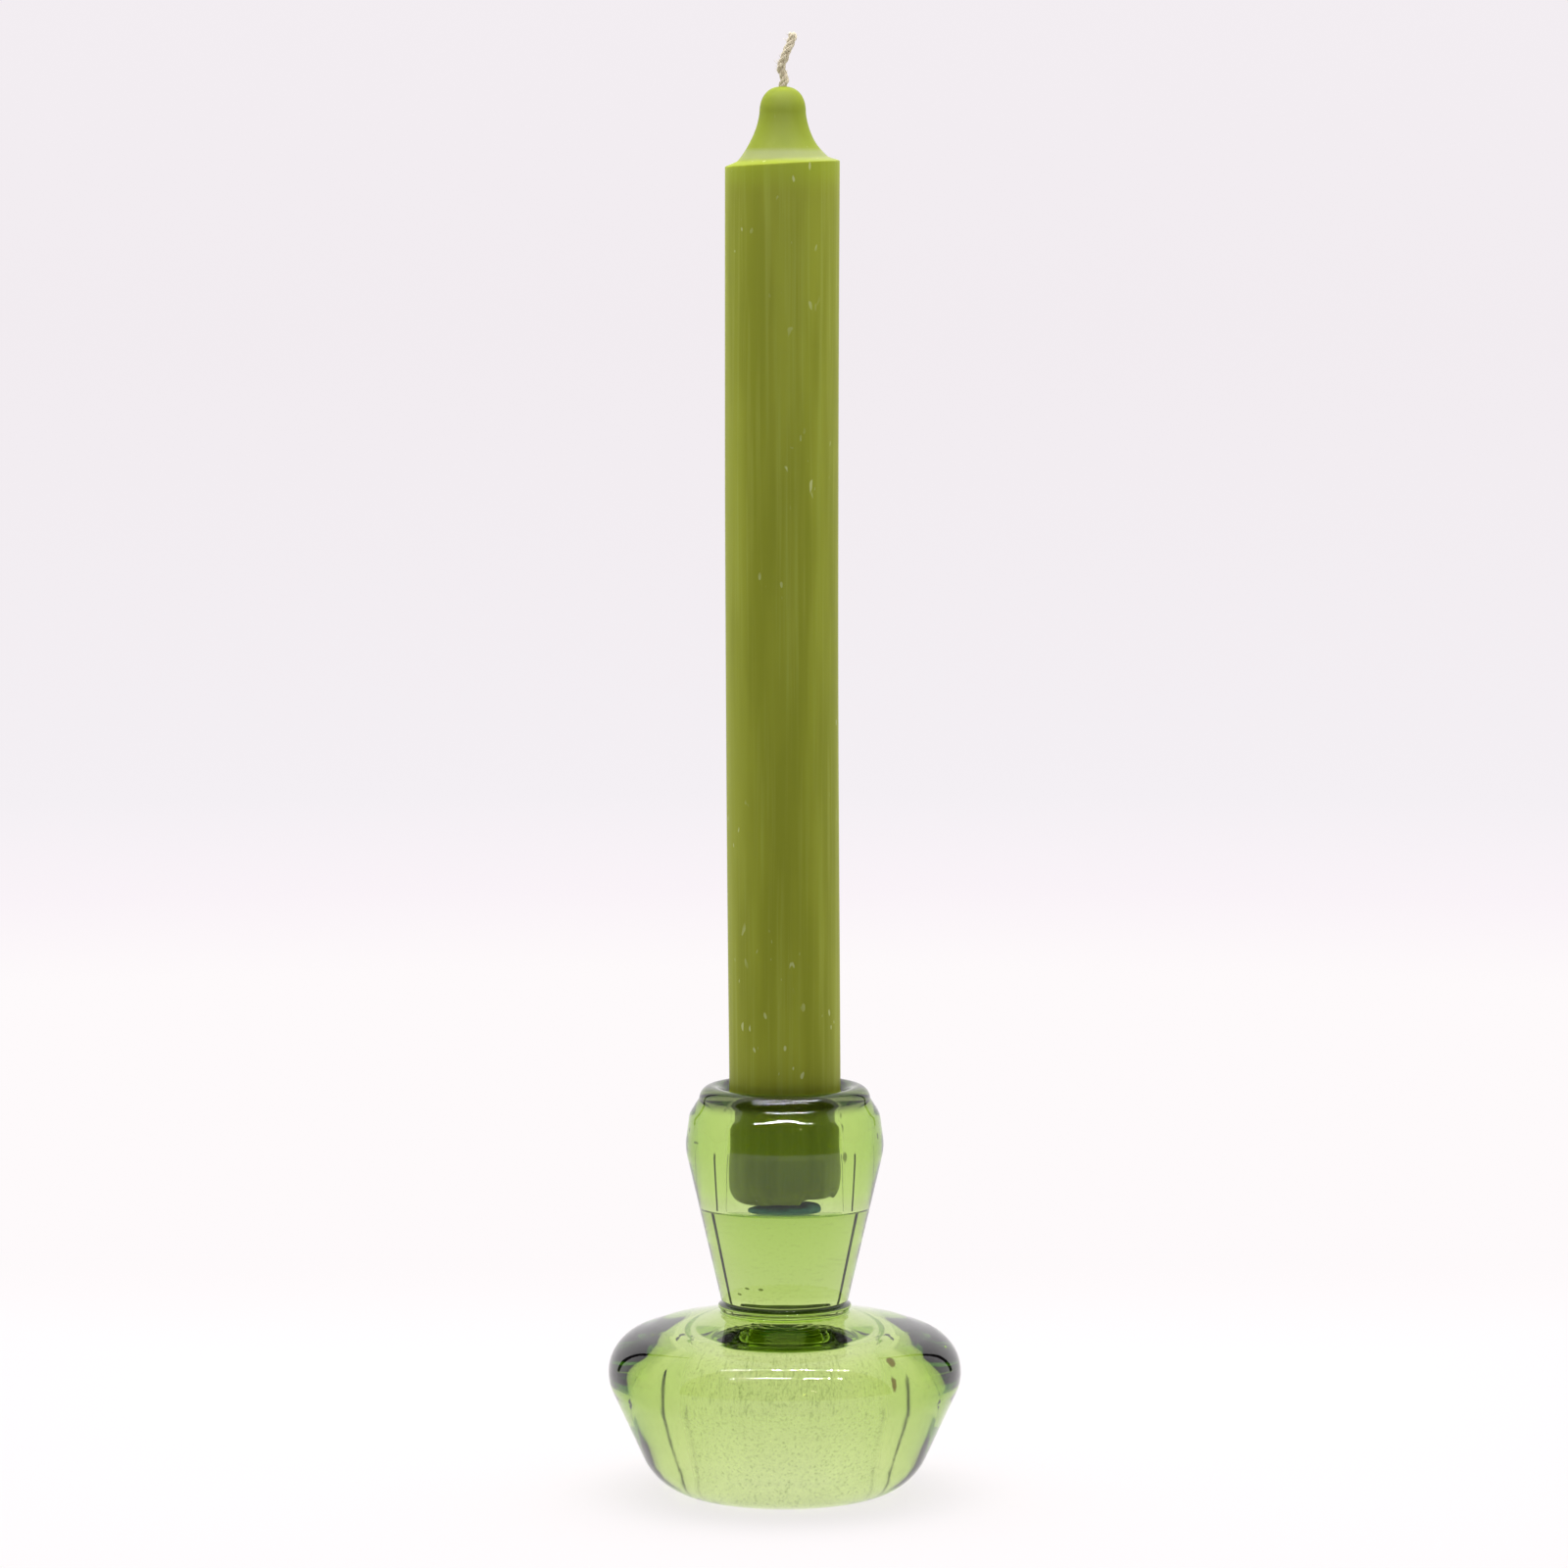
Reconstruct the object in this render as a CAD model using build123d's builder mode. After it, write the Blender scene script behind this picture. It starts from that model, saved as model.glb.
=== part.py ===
# Glass candlestick with a dinner candle, its wick and a pad of fixing putty.
# Millimetres. Origin: centre of the flat foot. +Z is up, -Y is the front.
import os
from build123d import *

os.makedirs("parts", exist_ok=True)

# glass base: narrow ring foot, rounded heel, flared wall, belly, shoulder
foot_corner_r = 24.8      # where foot plane and flared wall would meet
heel_fillet = 12.3
belly_corner_r = 38.25    # flared wall meets the shoulder slope
belly_corner_z = 29.2
belly_fillet = 8.67
shoulder_r = 25.4         # shoulder slope flattens towards the neck
shoulder_z = 33.5
shoulder_fillet = 8.1

# hollow pressed into the base from below, open at the foot
hollow_mouth_r = 16.0
hollow_mouth_fillet = 0.3
hollow_corner_r = 21.0    # wider at the top than at the mouth
hollow_top_z = 25.5
hollow_fillet = 4.0

# neck: crease, bead, narrow groove, foot of the stem
crease_r = 12.6
crease_z = 36.25
crease_fillet = 0.4
bead_r = 13.35
bead_z = 37.55
bead_fillet = 0.3
groove_r = 12.1
groove_z = 38.2
groove_fillet = 0.25
stem_foot_r = 12.65
stem_foot_z = 38.65
stem_foot_fillet = 0.3

# stem and cup
cup_corner_r = 19.75
cup_corner_z = 69.1
cup_fillet = 11.0
cup_top_r = 18.85
cup_top_z = 75.7
cup_top_fillet = 3.7

# ring lip and candle socket
lip_r = 16.95
lip_crease_z = 78.8
lip_top_z = 81.3
socket_r = 11.7
socket_floor_z = 57.2
socket_fillet = 0.6

# putty pad under the candle
pad_height = 2.4
pad_half_x = 7.4
pad_half_y = 6.4
lobe_x = 5.4              # thicker end of the pad, pressed into the wax
lobe_half_x = 2.3
lobe_half_y = 3.4
lobe_height = 1.0
lobe_gap = 0.15

# candle
candle_foot_z = socket_floor_z + pad_height
candle_foot_r = 10.95
candle_foot_fillet = 4.5
candle_top_r = 11.2
shoulder_edge_z = 262.5
shoulder_tilt = 3.1       # degrees, left side lower
skirt_rise = 3.0
skirt_inner_r = 7.2
bell_foot_r = 8.9
bell_foot_z = 263.4
bell_mid_r = 6.0
bell_mid_z = 267.4
dome_r = 4.5
dome_z = 272.4
dome_side_r = 3.75
dome_side_z = 275.0
wax_top_z = 277.5

# wick
wick_r = 0.9
wick_rise = 10.8          # exposed height of the wick's centre line
wick_lean = 1.7
wick_bend_r = 3.0


# -- glass body ---------------------------------------------------------------
lip_mid_r = (lip_r + socket_r) / 2

with BuildPart() as glass_body:
    with BuildSketch(Plane.XZ):
        with BuildLine():
            FilletPolyline(
                (0, hollow_top_z),
                (hollow_corner_r, hollow_top_z),
                (hollow_mouth_r, 0),
                (foot_corner_r, 0),
                (belly_corner_r, belly_corner_z),
                (shoulder_r, shoulder_z),
                (crease_r, crease_z),
                (bead_r, bead_z),
                (groove_r, groove_z),
                (stem_foot_r, stem_foot_z),
                (cup_corner_r, cup_corner_z),
                (cup_top_r, cup_top_z),
                (lip_r, lip_crease_z),
                radius=(
                    hollow_fillet,
                    hollow_mouth_fillet,
                    heel_fillet,
                    belly_fillet,
                    shoulder_fillet,
                    crease_fillet,
                    bead_fillet,
                    groove_fillet,
                    stem_foot_fillet,
                    cup_fillet,
                    cup_top_fillet,
                ),
            )
            ThreePointArc((lip_r, lip_crease_z), (lip_mid_r, lip_top_z), (socket_r, lip_crease_z))
            FilletPolyline(
                (socket_r, lip_crease_z),
                (socket_r, socket_floor_z),
                (0, socket_floor_z),
                radius=socket_fillet,
            )
            Line((0, socket_floor_z), (0, hollow_top_z))
        make_face()
    revolve(axis=Axis.Z)
glass_body.part.label = "glass_body"
export_step(glass_body.part, "parts/glass_body.step")


# -- putty pad ----------------------------------------------------------------
with BuildPart() as putty_pad:
    with BuildSketch(Plane.XY.offset(socket_floor_z)):
        Ellipse(pad_half_x, pad_half_y)
    extrude(amount=pad_height)
    fillet(putty_pad.edges().filter_by(GeomType.LINE, reverse=True).sort_by(Axis.Z)[0], 0.5)
    with BuildSketch(Plane.XY.offset(candle_foot_z)):
        with Locations((lobe_x - 0.6, 0)):
            Ellipse(lobe_half_x, lobe_half_y)
    extrude(amount=lobe_height)
putty_pad.part.label = "putty_pad"
export_step(putty_pad.part, "parts/putty_pad.step")


# -- candle -------------------------------------------------------------------
tilted = Plane((0, 0, shoulder_edge_z)).rotated((0, -shoulder_tilt, 0))
side_plane = Plane(origin=tilted.origin, x_dir=tilted.x_dir, z_dir=(0, -1, 0))

with BuildPart() as candle_wax:
    with BuildSketch(Plane.XZ):
        with BuildLine():
            FilletPolyline(
                (0, candle_foot_z),
                (candle_foot_r, candle_foot_z),
                (candle_top_r, shoulder_edge_z + 2),
                radius=candle_foot_fillet,
            )
            Polyline(
                (candle_top_r, shoulder_edge_z + 2),
                (0, shoulder_edge_z + 2),
                (0, candle_foot_z),
            )
        make_face()
    revolve(axis=Axis.Z)
    # sloping, slightly crooked skirt round the tip
    with BuildSketch(side_plane):
        with BuildLine():
            Polyline(
                (0, -220),
                (30, -220),
                (30, 0),
                (candle_top_r + 0.3, 0),
                (skirt_inner_r, skirt_rise),
                (0, skirt_rise),
                close=True,
            )
        make_face()
    revolve(axis=Axis(tilted.origin, tilted.z_dir), mode=Mode.INTERSECT)
    # bell-shaped tip
    with BuildSketch(Plane.XZ):
        with BuildLine():
            Line((0, shoulder_edge_z - 1), (bell_foot_r, shoulder_edge_z - 1))
            Line((bell_foot_r, shoulder_edge_z - 1), (bell_foot_r, bell_foot_z))
            ThreePointArc((bell_foot_r, bell_foot_z), (bell_mid_r, bell_mid_z), (dome_r, dome_z))
            ThreePointArc((dome_r, dome_z), (dome_side_r, dome_side_z), (0, wax_top_z))
            Line((0, wax_top_z), (0, shoulder_edge_z - 1))
        make_face()
    revolve(axis=Axis.Z)
    # wick channel and the notch the putty has pressed into the foot
    with BuildSketch(Plane.XY.offset(candle_foot_z - 1)):
        Circle(wick_r)
    extrude(amount=wax_top_z - candle_foot_z + 2, mode=Mode.SUBTRACT)
    with BuildSketch(Plane.XY.offset(candle_foot_z - 1)):
        with Locations((lobe_x - 0.6, 0)):
            Ellipse(lobe_half_x + lobe_gap, lobe_half_y + lobe_gap)
    extrude(amount=1 + lobe_height, mode=Mode.SUBTRACT)
candle_wax.part.label = "candle_wax"
export_step(candle_wax.part, "parts/candle_wax.step")


# -- wick ---------------------------------------------------------------------
with BuildPart() as wick:
    with BuildLine(Plane.XZ):
        FilletPolyline(
            (0, candle_foot_z),
            (0, wax_top_z + 0.05 * wick_rise),
            (0.2 * wick_lean, wax_top_z + 0.25 * wick_rise),
            (-0.15 * wick_lean, wax_top_z + 0.48 * wick_rise),
            (0.95 * wick_lean, wax_top_z + 0.9 * wick_rise),
            (wick_lean, wax_top_z + wick_rise),
            radius=wick_bend_r,
        )
    with BuildSketch(Plane.XY.offset(candle_foot_z)):
        Circle(wick_r)
    sweep()
wick.part.label = "wick"
export_step(wick.part, "parts/wick.step")
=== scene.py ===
# Looks of the glass candlestick and its candle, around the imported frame. Metres; lengths in mm are
# multiplied by MM. The frame's origin is the centre of the foot, +Z up, -Y towards the camera.
import math
import random

import bpy
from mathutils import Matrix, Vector, noise


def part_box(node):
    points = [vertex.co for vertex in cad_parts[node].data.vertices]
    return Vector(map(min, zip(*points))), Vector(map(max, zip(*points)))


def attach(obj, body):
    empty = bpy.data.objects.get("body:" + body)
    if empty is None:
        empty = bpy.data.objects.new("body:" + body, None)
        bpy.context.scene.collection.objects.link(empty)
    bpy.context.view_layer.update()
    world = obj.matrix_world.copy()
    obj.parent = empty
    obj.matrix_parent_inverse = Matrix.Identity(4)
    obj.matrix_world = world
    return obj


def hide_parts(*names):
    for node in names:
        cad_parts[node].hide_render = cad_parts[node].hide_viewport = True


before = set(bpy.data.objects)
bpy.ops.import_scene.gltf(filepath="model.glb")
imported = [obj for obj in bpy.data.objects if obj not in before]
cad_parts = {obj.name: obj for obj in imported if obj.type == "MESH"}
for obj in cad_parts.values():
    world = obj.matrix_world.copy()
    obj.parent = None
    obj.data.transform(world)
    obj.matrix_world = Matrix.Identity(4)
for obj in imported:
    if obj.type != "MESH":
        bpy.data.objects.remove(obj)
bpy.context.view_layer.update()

MM = 0.001
PAD_LO, PAD_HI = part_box("putty_pad")
WICK_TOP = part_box("wick")[1].z / MM

# Places on the glass, in mm: a radius, or a height above the foot.
FOOT_R = 16.4           # on the flat ring that the glass stands on
HOLLOW_TOP = 25.5
STEM_R, STEM_Z = 12.9, 39.72    # on the stem, just above the neck
GROOVE_SHADE = 37.55, 38.7    # lower and upper edge of the band of painted shade in the neck's groove
LIP_R = 16.95
LIP_CREASE = 78.8
LIP_TOP = 81.3
SOCKET_R = 11.7
SOCKET_FLOOR = 57.2

# Places on the candle, in mm above the foot.
WAX_FOOT = 59.6
SHOULDER = 262.5
BELL_TOP = SHOULDER + 9.9
WAX_TOP = 277.5
TILT = math.tan(math.radians(3.1))  # slope of the crooked shoulder


# -- camera -------------------------------------------------------------------------------------------
def make_camera():
    """A 135 mm lens just over a metre in front, a quarter of a metre up, looking slightly down."""
    data = bpy.data.cameras.new("camera")
    data.lens = 135.0
    data.sensor_width = 36.0
    camera = bpy.data.objects.new("camera", data)
    camera.location = (-0.14 * MM, -1152.65 * MM, 245.98 * MM)
    camera.rotation_euler = (math.radians(90.0 - 5.199), 0.0, 0.0)
    bpy.context.scene.collection.objects.link(camera)
    bpy.context.scene.camera = camera


# -- mesh helpers -------------------------------------------------------------------------------------
def new_piece(name, verts, faces, material, smooth=True):
    """A mesh object from plain lists of vertices and faces."""
    mesh = bpy.data.meshes.new(name)
    mesh.from_pydata([tuple(v) for v in verts], [], faces)
    mesh.validate()
    mesh.polygons.foreach_set("use_smooth", [smooth] * len(mesh.polygons))
    mesh.materials.append(material)
    piece = bpy.data.objects.new(name, mesh)
    bpy.context.scene.collection.objects.link(piece)
    return piece


def smoothstep(low, high, value):
    t = min(1.0, max(0.0, (value - low) / (high - low)))
    return t * t * (3 - 2 * t)


def rounded(corners, step=0.35):
    """Points along a polyline of (r, z, fillet radius) corners, with true arcs at the corners."""
    out = [corners[0][:2]]
    for before, corner, after in zip(corners, corners[1:], corners[2:]):
        p = Vector(corner[:2])
        u = (Vector(before[:2]) - p).normalized()
        v = (Vector(after[:2]) - p).normalized()
        if corner[2] == 0:
            out.append(tuple(p))
            continue
        half = math.acos(max(-1.0, min(1.0, u.dot(v)))) / 2
        reach = corner[2] / math.tan(half)
        centre = p + (u + v).normalized() * (corner[2] / math.sin(half))
        a, b = p + u * reach - centre, p + v * reach - centre
        turn = math.pi - 2 * half
        steps = max(4, math.ceil(turn * corner[2] / step))
        for i in range(steps + 1):
            t = i / steps
            d = (a * math.sin(turn * (1 - t)) + b * math.sin(turn * t)) / math.sin(turn)
            out.append(tuple(centre + d))
    out.append(corners[-1][:2])
    return out


def arc3(a, b, c, step=0.25):
    """Points on the circle through a, b and c, from a to c."""
    ax, ay = a
    bx, by = b
    cx, cy = c
    d = 2 * (ax * (by - cy) + bx * (cy - ay) + cx * (ay - by))
    a2, b2, c2 = ax * ax + ay * ay, bx * bx + by * by, cx * cx + cy * cy
    ox = (a2 * (by - cy) + b2 * (cy - ay) + c2 * (ay - by)) / d
    oy = (a2 * (cx - bx) + b2 * (ax - cx) + c2 * (bx - ax)) / d
    radius = math.hypot(ax - ox, ay - oy)
    angles = [math.atan2(y - oy, x - ox) for x, y in (a, b, c)]
    for i in (1, 2):
        while angles[i] - angles[i - 1] > math.pi:
            angles[i] -= 2 * math.pi
        while angles[i] - angles[i - 1] < -math.pi:
            angles[i] += 2 * math.pi
    first, _, last = angles
    steps = max(4, math.ceil(abs(last - first) * radius / step))
    span = [first + (last - first) * i / steps for i in range(steps + 1)]
    return [(ox + radius * math.cos(t), oy + radius * math.sin(t)) for t in span]


def spaced(points, longest):
    """The same outline with no step longer than longest."""
    out = [points[0]]
    for p, q in zip(points, points[1:]):
        parts = max(1, math.ceil(math.dist(p, q) / longest))
        out += [(p[0] + (q[0] - p[0]) * i / parts, p[1] + (q[1] - p[1]) * i / parts)
                for i in range(1, parts + 1)]
    return out


def lathe(outline, segments):
    """Vertices and faces of an (r, z) outline turned about Z. Ends at r = 0 become single points."""
    verts, faces, rings = [], [], []
    for r, z in outline:
        if r < 1e-6:
            rings.append([len(verts)])
            verts.append(Vector((0.0, 0.0, z)))
        else:
            rings.append(range(len(verts), len(verts) + segments))
            for i in range(segments):
                t = 2 * math.pi * i / segments
                verts.append(Vector((r * math.cos(t), r * math.sin(t), z)))
    for low, high in zip(rings, rings[1:]):
        for i in range(segments):
            j = (i + 1) % segments
            if len(low) == 1 and len(high) == 1:
                continue
            if len(low) == 1:
                faces.append((low[0], high[j], high[i]))
            elif len(high) == 1:
                faces.append((low[i], low[j], high[0]))
            else:
                faces.append((low[i], low[j], high[j], high[i]))
    return verts, faces


# -- materials ----------------------------------------------------------------------------------------
class Nodes:
    """Short calls for building a material's nodes."""

    def __init__(self, name):
        self.material = bpy.data.materials.new(name)
        self.material.use_nodes = True
        self.tree = self.material.node_tree
        self.tree.nodes.clear()
        self.out = self.tree.nodes.new("ShaderNodeOutputMaterial")

    def add(self, kind, **settings):
        node = self.tree.nodes.new("ShaderNode" + kind)
        for key, value in settings.items():
            setattr(node, key, value)
        return node

    def set(self, socket, value):
        if isinstance(value, bpy.types.NodeSocket):
            self.tree.links.new(value, socket)
        else:
            socket.default_value = value

    def math(self, operation, *values):
        node = self.add("Math", operation=operation)
        for socket, value in zip(node.inputs, values):
            self.set(socket, value)
        return node.outputs[0]

    def vector(self, operation, *values):
        node = self.add("VectorMath", operation=operation)
        for socket, value in zip(node.inputs, values):
            self.set(socket, value)
        return node.outputs["Value"] if operation == "LENGTH" else node.outputs[0]

    def span(self, value, low, high, to_low=0.0, to_high=1.0):
        node = self.add("MapRange", clamp=True, interpolation_type="SMOOTHSTEP")
        for socket, v in zip(node.inputs, (value, low, high, to_low, to_high)):
            self.set(socket, v)
        return node.outputs[0]

    def mix(self, factor, a, b):
        node = self.add("Mix", data_type="RGBA")
        self.set(node.inputs[0], factor)
        self.set(node.inputs[6], a)
        self.set(node.inputs[7], b)
        return node.outputs[2]

    def ramp(self, value, stops):
        node = self.add("ValToRGB")
        elements = node.color_ramp.elements
        while len(elements) < len(stops):
            elements.new(0.5)
        for element, (place, colour) in zip(elements, stops):
            element.position = place
            element.color = (*colour, 1.0)
        self.set(node.inputs[0], value)
        return node.outputs[0]

    def noise(self, vector, scale, detail=2.0, rough=0.5):
        node = self.add("TexNoise")
        self.set(node.inputs["Vector"], vector)
        node.inputs["Scale"].default_value = scale
        node.inputs["Detail"].default_value = detail
        node.inputs["Roughness"].default_value = rough
        return node.outputs["Fac"]

    def scaled(self, vector, x, y, z):
        return self.vector("MULTIPLY", vector, (x, y, z))

    def place(self):
        """The piece's own coordinates, and the height in them."""
        where = self.add("TexCoord").outputs["Object"]
        split = self.add("SeparateXYZ")
        self.set(split.inputs[0], where)
        return where, split.outputs["Z"]

    def bump(self, shader, relief, strength, depth):
        node = self.add("Bump")
        self.set(node.inputs["Strength"], strength)
        node.inputs["Distance"].default_value = depth
        self.set(node.inputs["Height"], relief)
        self.set(shader.inputs["Normal"], node.outputs[0])


BROWN, OLIVE = (0.16, 0.07, 0.03), (0.10, 0.12, 0.04)
MARKS = (   # degrees to the right of the front, height, half width, half height in mm, colour
    # two rust streaks on the base
    (40, 30.5, 1.1, 2.6, BROWN), (38, 26.8, 0.8, 2.2, BROWN),
    # knocks on the stem
    (-33, 42.6, 0.7, 0.3, OLIVE), (-20, 42.6, 0.7, 0.35, OLIVE), (-42, 41.2, 0.8, 0.3, OLIVE),
    # knocks on the cup
    (-64, 71.1, 1.3, 0.4, OLIVE), (-78, 73.0, 0.6, 0.6, OLIVE),
    (71, 72.1, 0.5, 0.8, OLIVE), (37, 69.4, 0.7, 1.3, OLIVE),
)


def outside(turn, height):
    """The point on the outside of the glass, in metres, at a turn in degrees to the right of the
    front and a height in mm."""
    outline = glass_outline()
    radius = max(p[0] + (q[0] - p[0]) * (height - p[1]) / (q[1] - p[1])
                 for p, q in zip(outline, outline[1:])
                 if min(p[1], q[1]) <= height < max(p[1], q[1]))
    turn = math.radians(turn)
    return Vector((radius * math.sin(turn), -radius * math.cos(turn), height)) * MM


def glass_material():
    """Green glass, coloured right through, with a finely stippled hollow underneath.

    Its surface adds specks and marks, a deeper tint up the stem and cup, and painted shade on the lip
    and in the neck's groove.
    """
    n = Nodes("green_glass")
    where, height = n.place()
    radius = n.vector("LENGTH", n.scaled(where, 1, 1, 0))
    under_roof = n.math("LESS_THAN", height, HOLLOW_TOP * MM)
    in_hollow = n.math("MULTIPLY", n.math("LESS_THAN", radius, 22.0 * MM), under_roof)
    on_wall = n.math("MULTIPLY", in_hollow, n.math("LESS_THAN", height, 22.0 * MM))
    tint_and_lip_shade = n.ramp(n.math("DIVIDE", height, 100.0 * MM), (
        (0.385, (1.0, 1.0, 1.0)),
        (0.400, (0.80, 0.86, 0.66)),
        (0.560, (0.76, 0.83, 0.60)),
        (0.620, (0.66, 0.80, 0.37)),
        (0.772, (0.64, 0.78, 0.35)),
        # the last two stops are painted shade: the lip above its crease is darkened to near black
        (0.786, (0.06, 0.065, 0.05)),
        (0.813, (0.08, 0.078, 0.075)),
    ))
    socket = n.math("MULTIPLY", n.math("LESS_THAN", radius, (SOCKET_R + 0.1) * MM),
                    n.math("GREATER_THAN", height, 50 * MM))
    colour = n.mix(socket, tint_and_lip_shade, (1.0, 1.0, 1.0, 1.0))
    specks = n.math("MULTIPLY", n.span(n.noise(where, 1700.0, 2.0, 0.6), 0.56, 0.70, 0.0, 0.55),
                    n.span(height, 33 * MM, 45 * MM, 1.0, 0.35))
    colour = n.mix(specks, colour, (0.40, 0.45, 0.30, 1.0))
    ragged = n.math("MULTIPLY", n.math("SUBTRACT", n.noise(where, 500.0), 0.5), 1.4)
    for turn, z, width, tall, tone in MARKS:
        away = n.vector("SUBTRACT", where, tuple(outside(turn, z)))
        away = n.scaled(away, 1 / (width * MM), 1 / (width * MM), 1 / (tall * MM))
        mark = n.span(n.math("ADD", n.vector("LENGTH", away), ragged), 0.6, 1.0, 1.0, 0.0)
        colour = n.mix(mark, colour, (*tone, 1.0))
    # painted shade: a near-black band across the neck's groove, where shade falls
    low, high = GROOVE_SHADE
    groove_shade = n.math("MULTIPLY", n.span(height, low * MM, (low + 0.2) * MM),
                       n.span(height, (high - 0.15) * MM, high * MM, 1, 0))
    colour = n.mix(groove_shade, colour, (0.004, 0.006, 0.003, 1.0))
    shader = n.add("BsdfPrincipled")
    n.set(shader.inputs["Base Color"], colour)
    n.set(shader.inputs["Roughness"], n.math("MULTIPLY", on_wall, 0.10))
    shader.inputs["IOR"].default_value = 1.5
    shader.inputs["Transmission Weight"].default_value = 1.0
    stipple = n.noise(where, 1100.0, 2.0, 0.55)
    n.bump(shader, stipple, n.math("MULTIPLY", in_hollow, 0.5), 0.02 * MM)
    n.set(n.out.inputs["Surface"], shader.outputs[0])
    soak = n.add("VolumeAbsorption")
    soak.inputs["Color"].default_value = (0.80, 0.885, 0.49, 1.0)
    soak.inputs["Density"].default_value = 100.0
    n.set(n.out.inputs["Volume"], soak.outputs[0])
    return n.material


def wax_material():
    """Lime green candle wax: satin, a little translucent, with drawn streaks and small pale chips;
    painted light just under the shoulder and painted shade over the top.
    """
    n = Nodes("lime_wax")
    where, height = n.place()
    streaks = n.noise(n.scaled(where, 1.0, 1.0, 0.02), 900.0, 3.0, 0.6)
    broad = n.noise(n.scaled(where, 1.0, 1.0, 0.12), 160.0, 2.0, 0.5)
    colour = n.mix(n.span(broad, 0.35, 0.65), (0.235, 0.268, 0.012, 1), (0.285, 0.325, 0.022, 1))
    colour = n.mix(n.span(streaks, 0.45, 0.75, 0.0, 0.35), colour, (0.38, 0.43, 0.07, 1))
    # painted light: the wax just under the shoulder is made lighter, where light from above falls on it
    colour = n.mix(n.span(height, 256.0 * MM, 262.0 * MM, 0.0, 0.55), colour, (0.33, 0.42, 0.02, 1))
    # painted shade: the wax from just above the shoulder up over the tip is made darker
    colour = n.mix(n.span(height, 263.6 * MM, 266.0 * MM, 0.0, 0.5), colour, (0.20, 0.26, 0.015, 1))
    bloom = n.span(n.math("ABSOLUTE", n.math("SUBTRACT", height, 264.2 * MM)), 0.4 * MM, 1.6 * MM, 1, 0)
    colour = n.mix(n.math("MULTIPLY", bloom, 0.55), colour, (0.33, 0.36, 0.20, 1))
    chips = n.noise(n.scaled(where, 1.0, 1.0, 0.45), 700.0, 1.0, 0.4)
    sparse = n.noise(where, 60.0, 1.0, 0.5)
    chips = n.math("MULTIPLY", n.span(chips, 0.70, 0.74), n.span(sparse, 0.52, 0.62))
    colour = n.mix(n.math("MULTIPLY", chips, 0.6), colour, (0.60, 0.64, 0.30, 1))
    relief = n.math("ADD", streaks, n.math("MULTIPLY", chips, -0.6))
    shader = n.add("BsdfPrincipled")
    n.set(shader.inputs["Base Color"], colour)
    shader.inputs["Roughness"].default_value = 0.55
    shader.inputs["IOR"].default_value = 1.44
    shader.inputs["Specular IOR Level"].default_value = 0.2
    shader.inputs["Subsurface Weight"].default_value = 0.35
    shader.inputs["Subsurface Radius"].default_value = (1.0, 0.9, 0.25)
    shader.inputs["Subsurface Scale"].default_value = 2.5 * MM
    n.bump(shader, relief, 0.25, 0.1 * MM)
    n.set(n.out.inputs["Surface"], shader.outputs[0])
    return n.material


def cotton_material():
    """Cream cotton yarn."""
    n = Nodes("cotton")
    where, _ = n.place()
    fibre = n.noise(n.scaled(where, 1.0, 1.0, 0.25), 4000.0, 3.0, 0.6)
    shader = n.add("BsdfPrincipled")
    n.set(shader.inputs["Base Color"],
          n.mix(n.span(fibre, 0.3, 0.7), (0.40, 0.33, 0.19, 1), (0.74, 0.68, 0.50, 1)))
    shader.inputs["Roughness"].default_value = 0.85
    shader.inputs["Sheen Weight"].default_value = 0.3
    n.bump(shader, fibre, 0.6, 0.05 * MM)
    n.set(n.out.inputs["Surface"], shader.outputs[0])
    return n.material


def putty_material():
    """Blue fixing putty, matt and finger-marked."""
    n = Nodes("blue_putty")
    where, _ = n.place()
    dents = n.noise(where, 420.0, 3.0, 0.55)
    shader = n.add("BsdfPrincipled")
    n.set(shader.inputs["Base Color"],
          n.mix(n.span(dents, 0.3, 0.7), (0.05, 0.22, 0.42, 1), (0.09, 0.33, 0.58, 1)))
    shader.inputs["Roughness"].default_value = 0.6
    n.bump(shader, dents, 0.5, 0.15 * MM)
    n.set(n.out.inputs["Surface"], shader.outputs[0])
    return n.material


def glow_material(name, colour, strength):
    n = Nodes(name)
    light = n.add("Emission")
    light.inputs["Color"].default_value = (*colour, 1.0)
    light.inputs["Strength"].default_value = strength
    n.set(n.out.inputs["Surface"], light.outputs[0])
    return n.material


# -- glass --------------------------------------------------------------------------------------------
def glass_outline():
    """The glass body's half section in mm, from the hollow's roof out round the foot, up the
    outside, over the lip and down to the middle of the socket's floor."""
    hollow = rounded((
        (0, HOLLOW_TOP, 0), (21.0, HOLLOW_TOP, 4.0), (16.0, 0, 0.3), (FOOT_R, 0, 0),
    ))
    base = rounded((
        (FOOT_R, 0, 0), (24.8, 0, 12.3), (38.25, 29.2, 8.67), (25.4, 33.5, 8.1), (12.6, 36.25, 0.4),
        (13.35, 37.55, 0.3), (12.1, 38.2, 0.25), (12.65, 38.65, 0.3), (STEM_R, STEM_Z, 0),
    ))
    cup = rounded((
        (STEM_R, STEM_Z, 0), (19.75, 69.1, 11.0), (18.85, 75.7, 3.7), (LIP_R, LIP_CREASE, 0),
    ))
    lip = arc3((LIP_R, LIP_CREASE), ((LIP_R + SOCKET_R) / 2, LIP_TOP), (SOCKET_R, LIP_CREASE))
    socket = rounded(((SOCKET_R, LIP_CREASE, 0), (SOCKET_R, SOCKET_FLOOR, 0.6), (0, SOCKET_FLOOR, 0)))
    return spaced(hollow, 0.4) + spaced(base + cup[1:] + lip[1:] + socket[1:], 0.9)[1:]


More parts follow.
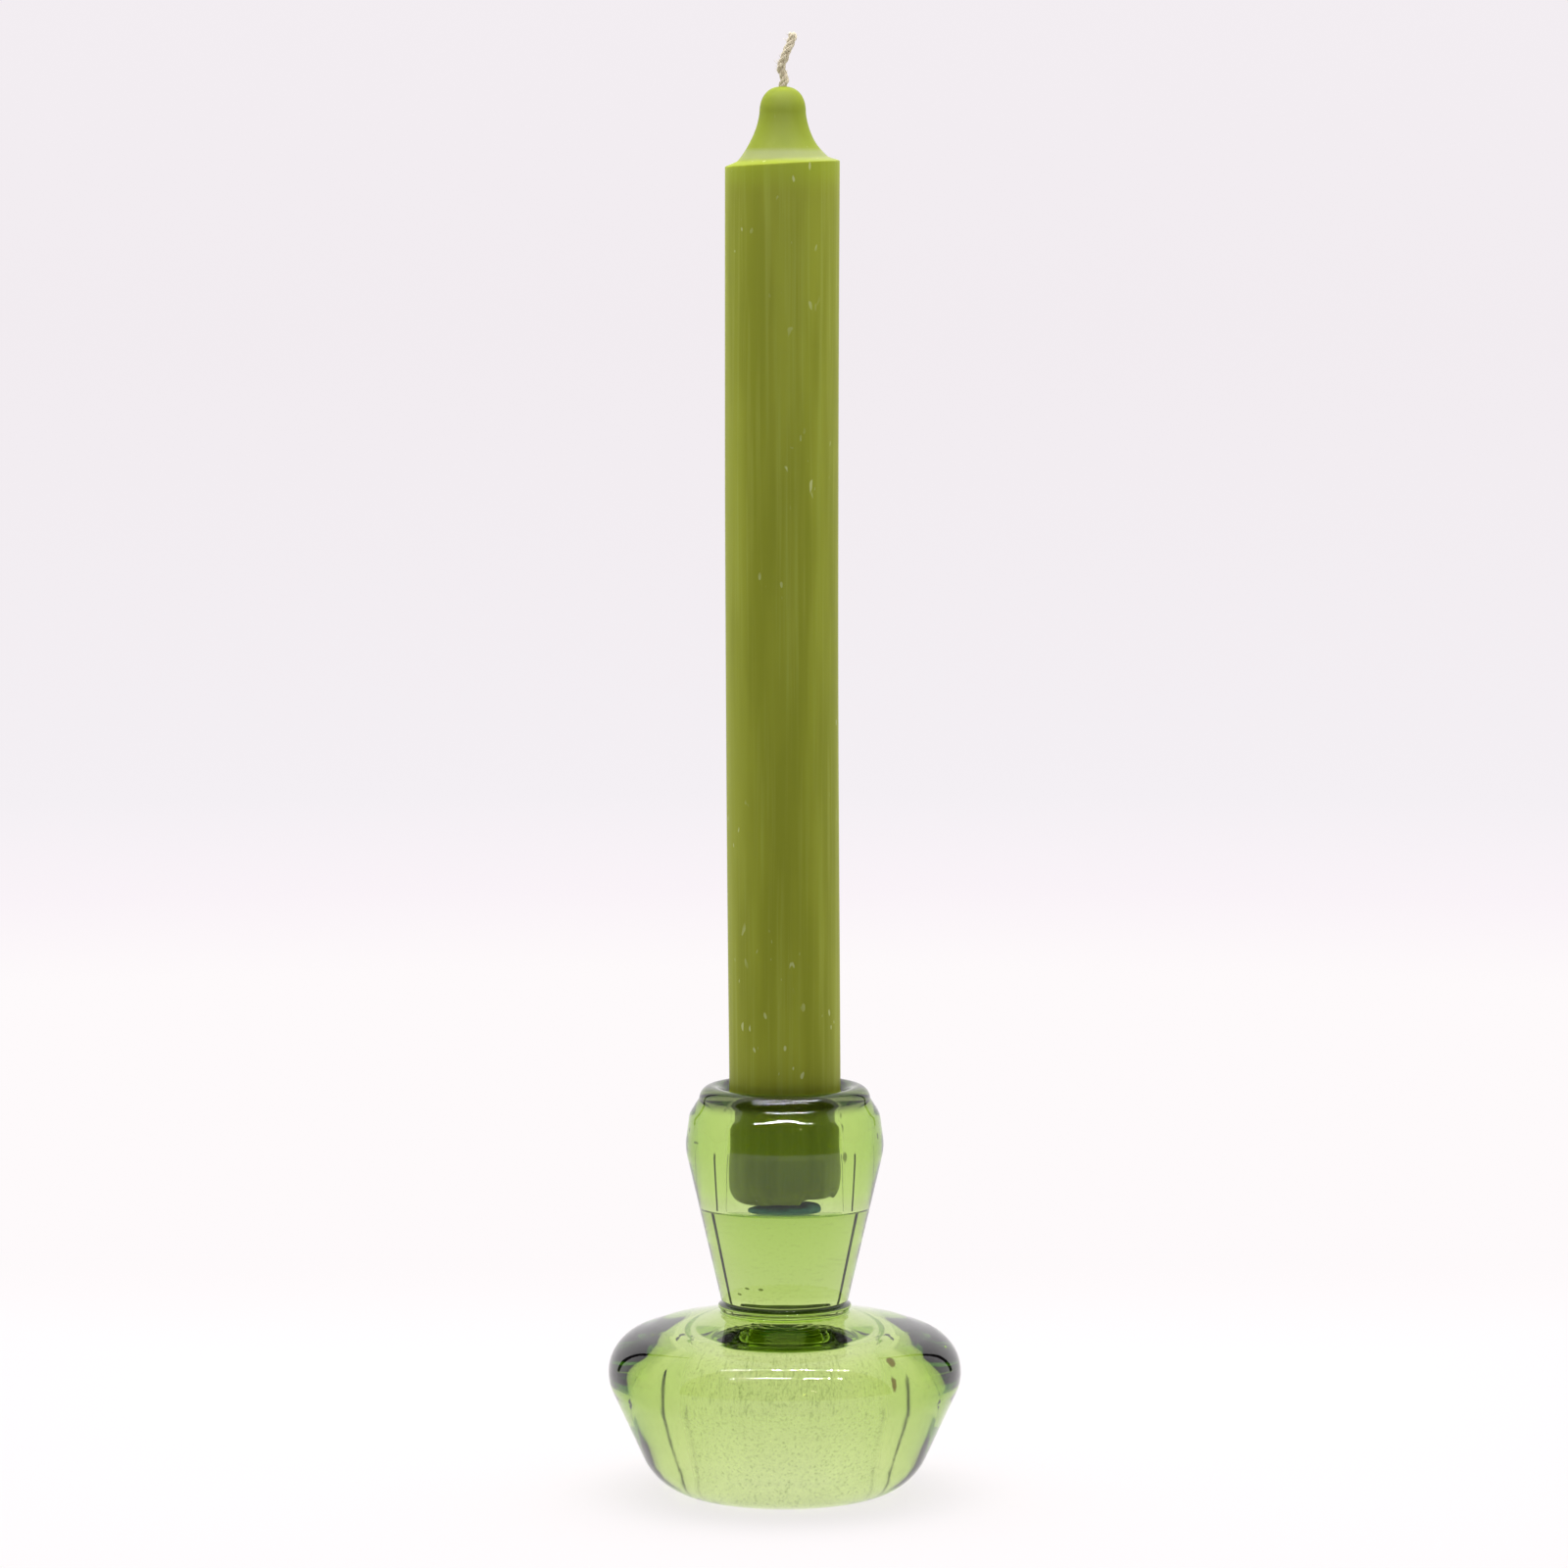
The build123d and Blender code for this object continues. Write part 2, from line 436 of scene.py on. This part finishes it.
def make_glass(material):
    verts, faces = lathe(glass_outline(), 240)
    for v in verts:
        r = v.xy.length
        if r < 13 and abs(v.z - HOLLOW_TOP) < 1.5:
            # the roof of the hollow is rippled in rings, as the tool left it
            fade = smoothstep(2.0, 4.0, r) * (1 - smoothstep(9.5, 12.0, r))
            ring = math.sin(2 * math.pi * r / 1.7) * fade
            v.z += 0.03 * ring * (0.6 + noise.noise(Vector((v.x * 0.5, v.y * 0.5, 1.0))))
        elif v.z < 39 and r > 5:
            # the base is very slightly wavy round its axis
            wave = noise.noise(Vector((v.x * 0.16, v.y * 0.16, v.z * 0.10)))
            v.xy *= 1 + 0.05 * wave / r * smoothstep(1.0, 6.0, v.z)
    piece = new_piece("glass_candlestick", [v * MM for v in verts], faces, material)
    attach(piece, "holder")
    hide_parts("glass_body")
    return piece


# -- candle -------------------------------------------------------------------------------------------
def candle_lean(z):
    """How far the slightly bowed candle stands to the side at height z, in mm."""
    t = (z - WAX_FOOT) / (SHOULDER - WAX_FOOT)
    return -0.6 * math.sin(math.pi * max(0.0, t - 0.12) / 1.2)


def make_candle(material):
    side = rounded(((0, WAX_FOOT, 0), (10.95, WAX_FOOT, 3.6), (11.2, SHOULDER - 0.12, 0.0)))
    edge = [(11.2, SHOULDER - 0.05), (11.12, SHOULDER + 0.05), (10.98, SHOULDER + 0.15)]
    bell = arc3((8.9, SHOULDER + 0.9), (6.0, SHOULDER + 4.9), (4.5, BELL_TOP), 0.4)
    quarter = [math.pi / 2 * i / 16 for i in range(16)]
    dome = [(4.5 * math.cos(t) ** 0.8, BELL_TOP + (WAX_TOP - BELL_TOP) * math.sin(t) ** 0.92)
            for t in quarter]
    outline = spaced(side + edge + bell + dome[1:] + [(0.4, WAX_TOP - 0.2), (0, WAX_TOP - 0.5)], 1.6)
    verts, faces = lathe(outline, 160)
    for v in verts:
        z = v.z
        # the shoulder is crooked, and the foot is rounder on one side, with a notch for the putty
        crooked = smoothstep(235, SHOULDER, z) * (1 - smoothstep(SHOULDER + 1, SHOULDER + 5, z))
        v.z += v.x * TILT * crooked
        foot = 1 - smoothstep(WAX_FOOT, WAX_FOOT + 6, z)
        swell = noise.noise(Vector((v.x * 0.22, v.y * 0.22, z * 0.25)))
        if foot > 0 and v.xy.length > 1:
            v.xy *= 1 - 0.05 * foot * (0.4 + swell + 0.5 * smoothstep(0, 8, v.x))
        notch = smoothstep(2.6, 3.6, v.x) * (1 - smoothstep(8.6, 9.8, v.x))
        notch *= 1 - smoothstep(WAX_FOOT + 1, WAX_FOOT + 4, z)
        v.z += 1.15 * notch + 0.35 * foot * max(0.0, swell)
        wobble = 0.06 * noise.noise(Vector((v.x * 0.15, v.y * 0.15, z * 0.02 + 7)))
        if v.xy.length > 1:
            v.xy *= 1 + wobble / v.xy.length
        v.x += candle_lean(z)
    piece = new_piece("dinner_candle", [v * MM for v in verts], faces, material)
    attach(piece, "candle")
    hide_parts("candle_wax")
    return piece


# -- wick ---------------------------------------------------------------------------------------------
def wick_centre(z):
    """The wick's middle at height z, in mm: straight in the wax, then bent over with a small hook."""
    rise = max(0.0, z - WAX_TOP)
    x = candle_lean(min(z, WAX_TOP))
    x += 0.35 * math.sin(rise * 1.25) * smoothstep(0, 1.5, rise) * (1 - smoothstep(4, 7, rise))
    x += 1.95 * smoothstep(4.2, 10.4, rise)
    x -= 0.45 * smoothstep(9.8, 11.4, rise)
    y = 0.25 * math.sin(rise * 0.7)
    return Vector((x, y, z))


def tube(path, radii, sides):
    """Vertices and faces of a closed tube along a path, with one radius for each point."""
    verts, faces = [], []
    for i, (p, r) in enumerate(zip(path, radii)):
        ahead = (path[min(i + 1, len(path) - 1)] - path[max(i - 1, 0)]).normalized()
        across = ahead.cross(Vector((0.3, 1.0, 0.1))).normalized()
        other = ahead.cross(across)
        for k in range(sides):
            t = 2 * math.pi * k / sides
            verts.append(p + (across * math.cos(t) + other * math.sin(t)) * r)
    for i in range(len(path) - 1):
        for k in range(sides):
            a, b = i * sides + k, i * sides + (k + 1) % sides
            faces.append((a, b, b + sides, a + sides))
    faces.append(tuple(reversed(range(sides))))
    last = (len(path) - 1) * sides
    faces.append(tuple(range(last, last + sides)))
    return verts, faces


def merged(parts):
    verts, faces = [], []
    for part_verts, part_faces in parts:
        start = len(verts)
        verts += part_verts
        faces += [tuple(i + start for i in face) for face in part_faces]
    return verts, faces


def make_wick(material):
    rng = random.Random(7)
    parts = []
    strands, pitch = 3, 4.2     # twisted yarns, and the height of one full turn
    for s in range(strands):
        path, radii = [], []
        z = WAX_FOOT
        while z < WICK_TOP - 0.3:
            turn = 2 * math.pi * (z / pitch + s / strands)
            path.append(wick_centre(z) + Vector((math.cos(turn), math.sin(turn), 0)) * 0.44)
            radii.append(0.46 + 0.03 * math.sin(z * 3 + s))
            z += 0.22 if z > WAX_TOP - 2 else 1.5
        radii[-1] *= 0.45
        radii[-2] *= 0.8
        parts.append(tube(path, radii, 10))
    for _ in range(70):
        # a loose fibre
        z = rng.uniform(WAX_TOP + 0.2, WICK_TOP - 0.5)
        turn = rng.uniform(0, 2 * math.pi)
        out = Vector((math.cos(turn), math.sin(turn), rng.uniform(-0.6, 1.2)))
        p = wick_centre(z) + Vector((math.cos(turn), math.sin(turn), 0)) * 0.7
        reach = rng.uniform(0.25, 0.7)
        bend = Vector((rng.uniform(-1, 1), rng.uniform(-1, 1), rng.uniform(-0.4, 1))) * 0.5
        path = [p + out * reach * t + bend * reach * t * t for t in (0, 0.35, 0.7, 1.0)]
        parts.append(tube(path, [0.03, 0.03, 0.025, 0.01], 4))
    verts, faces = merged(parts)
    piece = new_piece("cotton_wick", [v * MM for v in verts], faces, material)
    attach(piece, "candle")
    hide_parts("wick")
    return piece


# -- putty --------------------------------------------------------------------------------------------
def make_putty(material):
    centre = (PAD_LO + PAD_HI) / 2 / MM
    half = (PAD_HI - PAD_LO) / 2 / MM
    rows, segments = 14, 72
    outline = [(0.0, -1.0)]
    for i in range(1, rows):
        t = math.pi * (i / rows - 0.5)
        outline.append((math.cos(t) ** 0.45, math.copysign(abs(math.sin(t)) ** 0.7, math.sin(t))))
    outline.append((0.0, 1.0))
    verts, faces = lathe(outline, segments)
    low = PAD_LO.z / MM
    for v in verts:
        edge = 1 + 0.13 * noise.noise(Vector((v.x * 1.6, v.y * 1.6, 3.0)))
        v.x *= half.x * edge * 0.98
        v.y *= half.y * edge * 0.98
        thick = 2.25 + 0.9 * smoothstep(2.8, 4.2, v.x) * (1 - smoothstep(6.6, 8.0, v.x))
        lump = 0.12 * noise.noise(Vector((v.x * 0.5, v.y * 0.5, v.z)))
        v.z = low + (v.z + 1) / 2 * (thick + lump)
        v.x += centre.x
        v.y += centre.y
    piece = new_piece("blue_putty", [v * MM for v in verts], faces, material)
    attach(piece, "putty")
    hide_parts("putty_pad")
    return piece


# -- stage --------------------------------------------------------------------------------------------
# An open-fronted light tent stands round the candlestick; the room in front of it is dark.
TENT = 0.30         # half width of the tent, and how far back it reaches
TENT_FRONT = -0.12  # front edge of its sides and ceiling
TENT_TOP = 0.60
SEAM = 0.022        # dark seam down each back corner
NEAR_GLOW = 0.80    # how much of the floor's brightness beside the object is even light


def card(name, corners, material):
    """A flat panel. It lights and is reflected, but the camera looks through it."""
    piece = new_piece(name, [Vector(c) for c in corners], [(0, 1, 2, 3)], material, smooth=False)
    piece.visible_camera = False
    piece.visible_shadow = False
    return piece


def floor_material():
    """White sweep: it takes the object's shadow close by, and glows evenly further out."""
    n = Nodes("sweep")
    where, height = n.place()
    radius = n.vector("LENGTH", n.scaled(where, 1, 1, 0))
    reach = n.math("ADD", radius, height)
    far = n.ramp(n.math("DIVIDE", reach, 5.0), (
        (0.0, (0.990, 0.955, 0.965)),
        (0.17, (0.990, 0.955, 0.965)),
        (0.22, (0.955, 0.90, 0.94)),
        (0.30, (0.905, 0.87, 0.905)),
        (0.44, (0.885, 0.84, 0.875)),
        (0.62, (0.91, 0.87, 0.905)),
    ))
    glow = n.add("Emission")
    n.set(glow.inputs["Color"], far)
    paper = n.add("BsdfDiffuse")
    paper.inputs["Color"].default_value = (0.90, 0.88, 0.885, 1)
    mix = n.add("MixShader")
    beside = n.vector("ABSOLUTE", where)
    split = n.add("SeparateXYZ")
    n.set(split.inputs[0], beside)
    away = n.math("MAXIMUM", split.outputs[0], split.outputs[1])
    n.set(mix.inputs[0], n.span(away, 0.10, 0.28, NEAR_GLOW, 1.0))
    n.set(mix.inputs[1], paper.outputs[0])
    n.set(mix.inputs[2], glow.outputs[0])
    n.set(n.out.inputs["Surface"], mix.outputs[0])
    return n.material


def make_tent(white):
    t, f, h = TENT, TENT_FRONT, TENT_TOP
    b = t - SEAM
    card("tent_back", ((-b, t, 0), (b, t, 0), (b, t, h), (-b, t, h)), white)
    for side, name in ((-1, "left"), (1, "right")):
        x = side * t
        card("tent_side_" + name, ((x, f, 0), (x, b, 0), (x, b, h), (x, f, h)), white)
    card("tent_top", ((-t, f, h), (t, f, h), (t, t, h), (-t, t, h)), white)


def make_led_row(name, y, z, material):
    """A row of small square lights across the tent's front, seen only in reflections."""
    verts, faces = [], []
    count, half = 32, 0.0034
    for i in range(count):
        x = -0.295 + 0.59 * i / (count - 1)
        start = len(verts)
        verts += [Vector((x + a * half, y + b * half, z + b * half))
                  for a, b in ((-1, -1), (1, -1), (1, 1), (-1, 1))]
        faces.append(tuple(range(start, start + 4)))
    strip = new_piece(name, verts, faces, material, smooth=False)
    strip.visible_camera = False
    strip.visible_shadow = False
    strip.visible_diffuse = False
    strip.visible_transmission = False


def make_stage():
    sweep = floor_material()
    verts, faces = lathe([(0.05 * i, 0.0) for i in range(31)], 96)
    floor = new_piece("floor", verts, faces, sweep)
    cove = [(1.5 + 0.7 * math.sin(t), 0.7 - 0.7 * math.cos(t))
            for t in (math.pi / 2 * i / 16 for i in range(17))] + [(2.2, 3.0)]
    verts, faces = lathe(cove, 96)
    wall = new_piece("backdrop", verts, faces, sweep)
    for kind in ("diffuse", "glossy", "transmission", "shadow"):
        setattr(wall, "visible_" + kind, False)
    make_tent(glow_material("tent", (1.0, 0.975, 0.99), 1.0))
    led = glow_material("leds", (1.0, 0.98, 0.96), 350.0)
    make_led_row("led_row_top", -0.095, TENT_TOP - 0.01, led)
    make_led_row("led_row_front", -0.29, 0.45, led)
    lamp = glow_material("warm_lamp", (1.0, 0.80, 0.45), 60.0)
    card("warm_lamp", ((0.232, -0.70, 0.309), (0.264, -0.70, 0.309),
                       (0.264, -0.70, 0.321), (0.232, -0.70, 0.321)), lamp)
    top_light = bpy.data.lights.new("tent_light", "AREA")
    top_light.shape = "RECTANGLE"
    top_light.size = 0.58
    top_light.size_y = 0.5
    top_light.energy = 3.2
    top_light.color = (1.0, 0.985, 0.99)
    top_object = bpy.data.objects.new("tent_light", top_light)
    top_object.location = (0.0, -0.02, TENT_TOP - 0.02)
    top_object.visible_camera = False
    top_object.visible_glossy = False
    top_object.visible_transmission = False
    bpy.context.scene.collection.objects.link(top_object)


def make_world():
    world = bpy.data.worlds.new("room")
    world.use_nodes = True
    background = world.node_tree.nodes["Background"]
    background.inputs["Color"].default_value = (0.035, 0.03, 0.035, 1.0)
    bpy.context.scene.world = world
    bpy.context.scene.view_settings.view_transform = "Standard"


make_camera()
make_world()
make_stage()
make_glass(glass_material())
make_candle(wax_material())
make_wick(cotton_material())
make_putty(putty_material())
